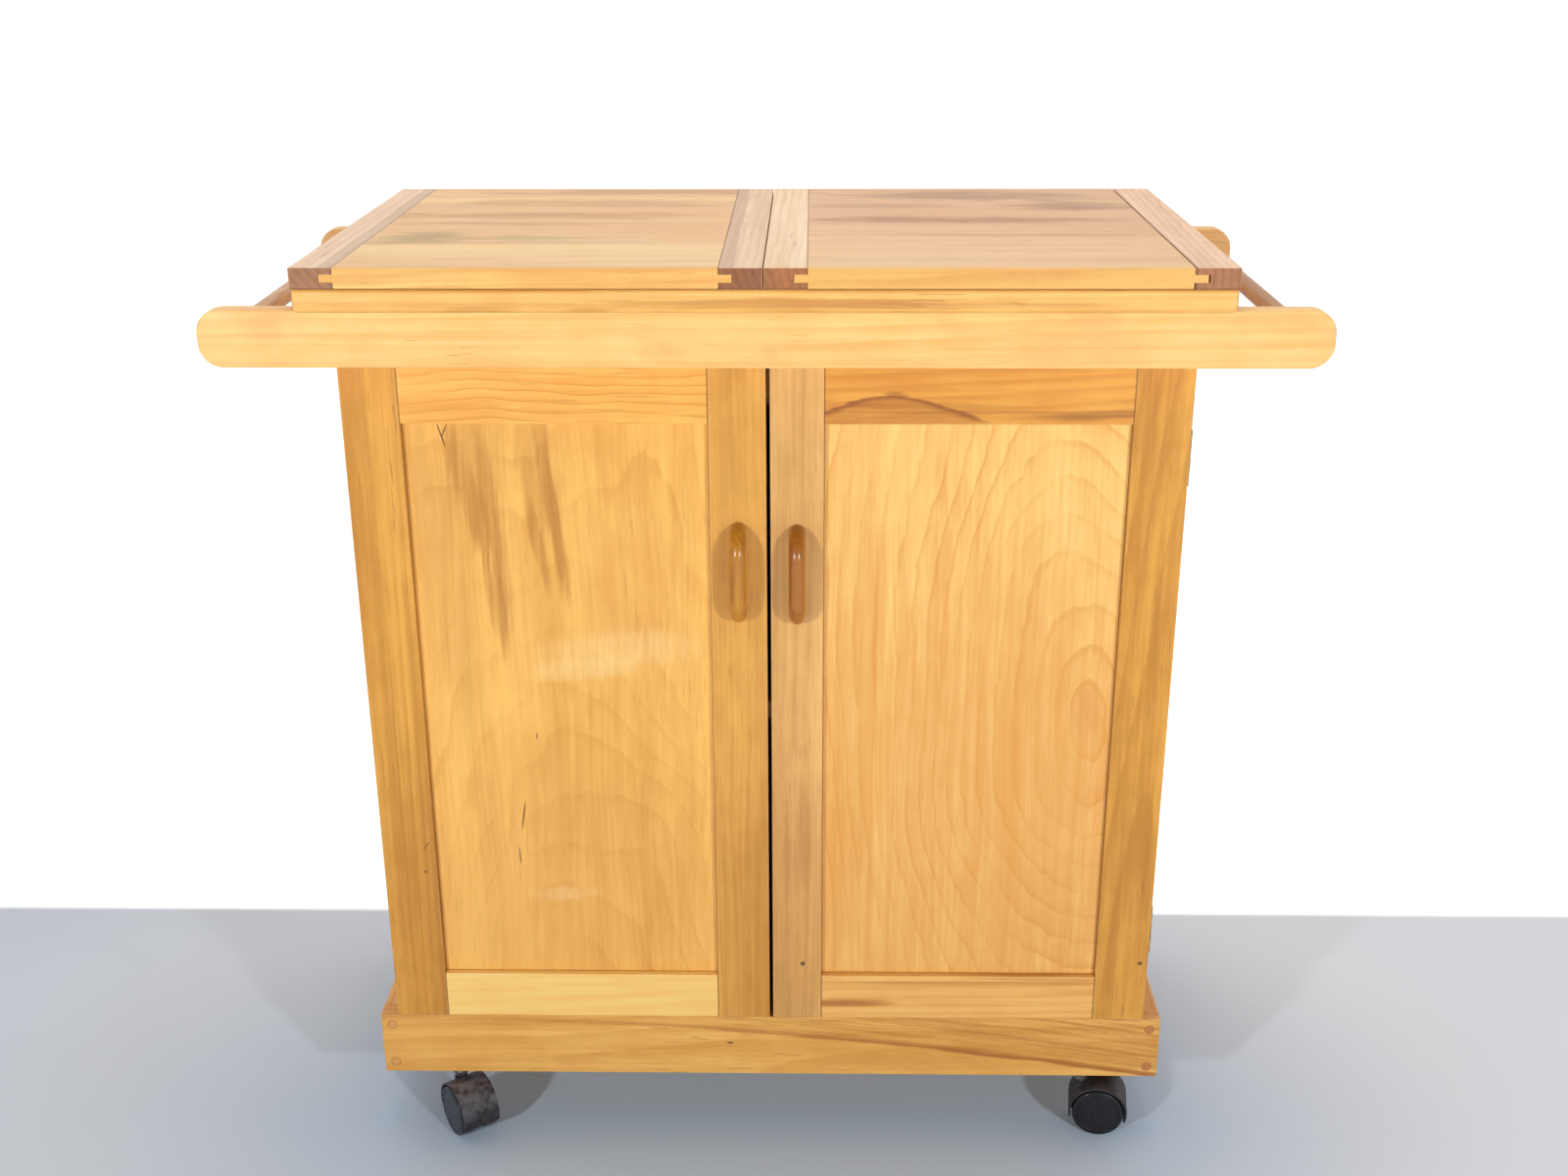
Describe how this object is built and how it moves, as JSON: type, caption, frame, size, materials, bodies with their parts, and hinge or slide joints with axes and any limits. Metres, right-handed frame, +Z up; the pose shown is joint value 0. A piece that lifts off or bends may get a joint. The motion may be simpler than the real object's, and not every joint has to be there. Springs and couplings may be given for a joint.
{
  "type": "rolling butcher block table",
  "caption": "Two-door wooden cabinet on swivel casters with a thick block top, fold-out butcher block leaves and round handle bars between long rails.",
  "frame": {"origin": "on the floor, under the middle of the block top", "axes": "+Z up, +X to the right along the rails, the doors face -Y"},
  "size_m": [0.931, 0.427, 0.8695],
  "materials": {
    "base_block": "satin oiled maple",
    "leaf_block": "worn pale maple block",
    "leaf_end": "pinkish brown end boards",
    "rail": "satin oiled maple",
    "handle_bar": "handled grey-brown dowel",
    "cabinet": "pale maple boards",
    "skirt": "streaked maple",
    "plug": "end-grain plugs",
    "door_stile": "honey maple",
    "door_top_rail": "pale maple",
    "door_bottom_rail": "pale maple",
    "left_door_panel": "streaked maple panel",
    "right_door_panel": "figured maple panel",
    "pull": "satin brown wood",
    "hinge": "dulled brass",
    "fastener": "plain steel",
    "caster_steel": "plain steel",
    "caster_hood": "dusty black plastic",
    "caster_wheel": "black plastic"
  },
  "bodies": {
    "cabinet": {"base_slab": "base_block", "front_rail": "rail", "rear_rail": "rail", "left_handle_bar": "handle_bar", "right_handle_bar": "handle_bar", "left_side_panel": "cabinet", "left_top_bearer": "cabinet", "right_side_panel": "cabinet", "right_top_bearer": "cabinet", "back_panel": "cabinet", "bottom_panel": "cabinet", "shelf": "cabinet", "front_stretcher": "cabinet", "skirt_front_board": "skirt", "skirt_back_board": "skirt", "skirt_left_board": "skirt", "skirt_right_board": "skirt", "skirt_plugs": "plug", "fixed_hinge_plates": "hinge", "hinge_pins": "fastener", "frame_screws": "fastener", "caster_stems": "caster_steel"},
    "left_leaf": {"left_leaf_slab": "leaf_block", "left_leaf_outer_end": "leaf_end", "left_leaf_inner_end": "leaf_end", "left_leaf_hinge_plates": "hinge", "left_leaf_screws": "fastener"},
    "right_leaf": {"right_leaf_slab": "leaf_block", "right_leaf_outer_end": "leaf_end", "right_leaf_inner_end": "leaf_end", "right_leaf_hinge_plates": "hinge", "right_leaf_screws": "fastener"},
    "left_door": {"left_door_outer_stile": "door_stile", "left_door_inner_stile": "door_stile", "left_door_top_rail": "door_top_rail", "left_door_bottom_rail": "door_bottom_rail", "left_door_panel": "left_door_panel", "left_door_pull": "pull", "left_door_hinge_plates": "hinge", "left_door_screws": "fastener"},
    "right_door": {"right_door_outer_stile": "door_stile", "right_door_inner_stile": "door_stile", "right_door_top_rail": "door_top_rail", "right_door_bottom_rail": "door_bottom_rail", "right_door_panel": "right_door_panel", "right_door_pull": "pull", "right_door_hinge_plates": "hinge", "right_door_screws": "fastener"},
    "front_left_caster": {"front_left_hood": "caster_hood", "front_left_axle": "caster_steel"},
    "front_left_wheel_pair": {"front_left_wheels": "caster_wheel"},
    "front_right_caster": {"front_right_hood": "caster_hood", "front_right_axle": "caster_steel"},
    "front_right_wheel_pair": {"front_right_wheels": "caster_wheel"},
    "rear_left_caster": {"rear_left_hood": "caster_hood", "rear_left_axle": "caster_steel"},
    "rear_left_wheel_pair": {"rear_left_wheels": "caster_wheel"},
    "rear_right_caster": {"rear_right_hood": "caster_hood", "rear_right_axle": "caster_steel"},
    "rear_right_wheel_pair": {"rear_right_wheels": "caster_wheel"}
  },
  "joints": [
    {"name": "left_leaf_hinge", "type": "hinge", "parent": "cabinet", "child": "left_leaf", "pos_m": [-0.38235, 0, 0.852], "axis": [0, -1, 0], "range_deg": [0, 180]},
    {"name": "right_leaf_hinge", "type": "hinge", "parent": "cabinet", "child": "right_leaf", "pos_m": [0.38235, 0, 0.852], "axis": [0, 1, 0], "range_deg": [0, 180]},
    {"name": "left_door_hinge", "type": "hinge", "parent": "cabinet", "child": "left_door", "pos_m": [-0.3656, -0.14315, 0.45475], "axis": [0, 0, -1], "range_deg": [0, 180]},
    {"name": "right_door_hinge", "type": "hinge", "parent": "cabinet", "child": "right_door", "pos_m": [0.3656, -0.14315, 0.45475], "axis": [0, 0, 1], "range_deg": [0, 180]},
    {"name": "front_left_swivel", "type": "hinge", "parent": "cabinet", "child": "front_left_caster", "pos_m": [-0.309, -0.1508, 0.052], "axis": [0, 0, 1], "continuous": true},
    {"name": "front_left_roll", "type": "hinge", "parent": "front_left_caster", "child": "front_left_wheel_pair", "pos_m": [-0.29896, -0.16514, 0.025], "axis": [0.8192, 0.5736, 0], "continuous": true},
    {"name": "front_right_swivel", "type": "hinge", "parent": "cabinet", "child": "front_right_caster", "pos_m": [0.309, -0.1508, 0.052], "axis": [0, 0, 1], "continuous": true},
    {"name": "front_right_roll", "type": "hinge", "parent": "front_right_caster", "child": "front_right_wheel_pair", "pos_m": [0.32633, -0.15324, 0.025], "axis": [0.1392, 0.9903, 0], "continuous": true},
    {"name": "rear_left_swivel", "type": "hinge", "parent": "cabinet", "child": "rear_left_caster", "pos_m": [-0.309, 0.1825, 0.052], "axis": [0, 0, 1], "continuous": true},
    {"name": "rear_left_roll", "type": "hinge", "parent": "rear_left_caster", "child": "rear_left_wheel_pair", "pos_m": [-0.32384, 0.17323, 0.025], "axis": [0.5299, -0.848, 0], "continuous": true},
    {"name": "rear_right_swivel", "type": "hinge", "parent": "cabinet", "child": "rear_right_caster", "pos_m": [0.309, 0.1825, 0.052], "axis": [0, 0, 1], "continuous": true},
    {"name": "rear_right_roll", "type": "hinge", "parent": "rear_right_caster", "child": "rear_right_wheel_pair", "pos_m": [0.32333, 0.17246, 0.025], "axis": [0.5736, 0.8192, 0], "continuous": true}
  ]
}
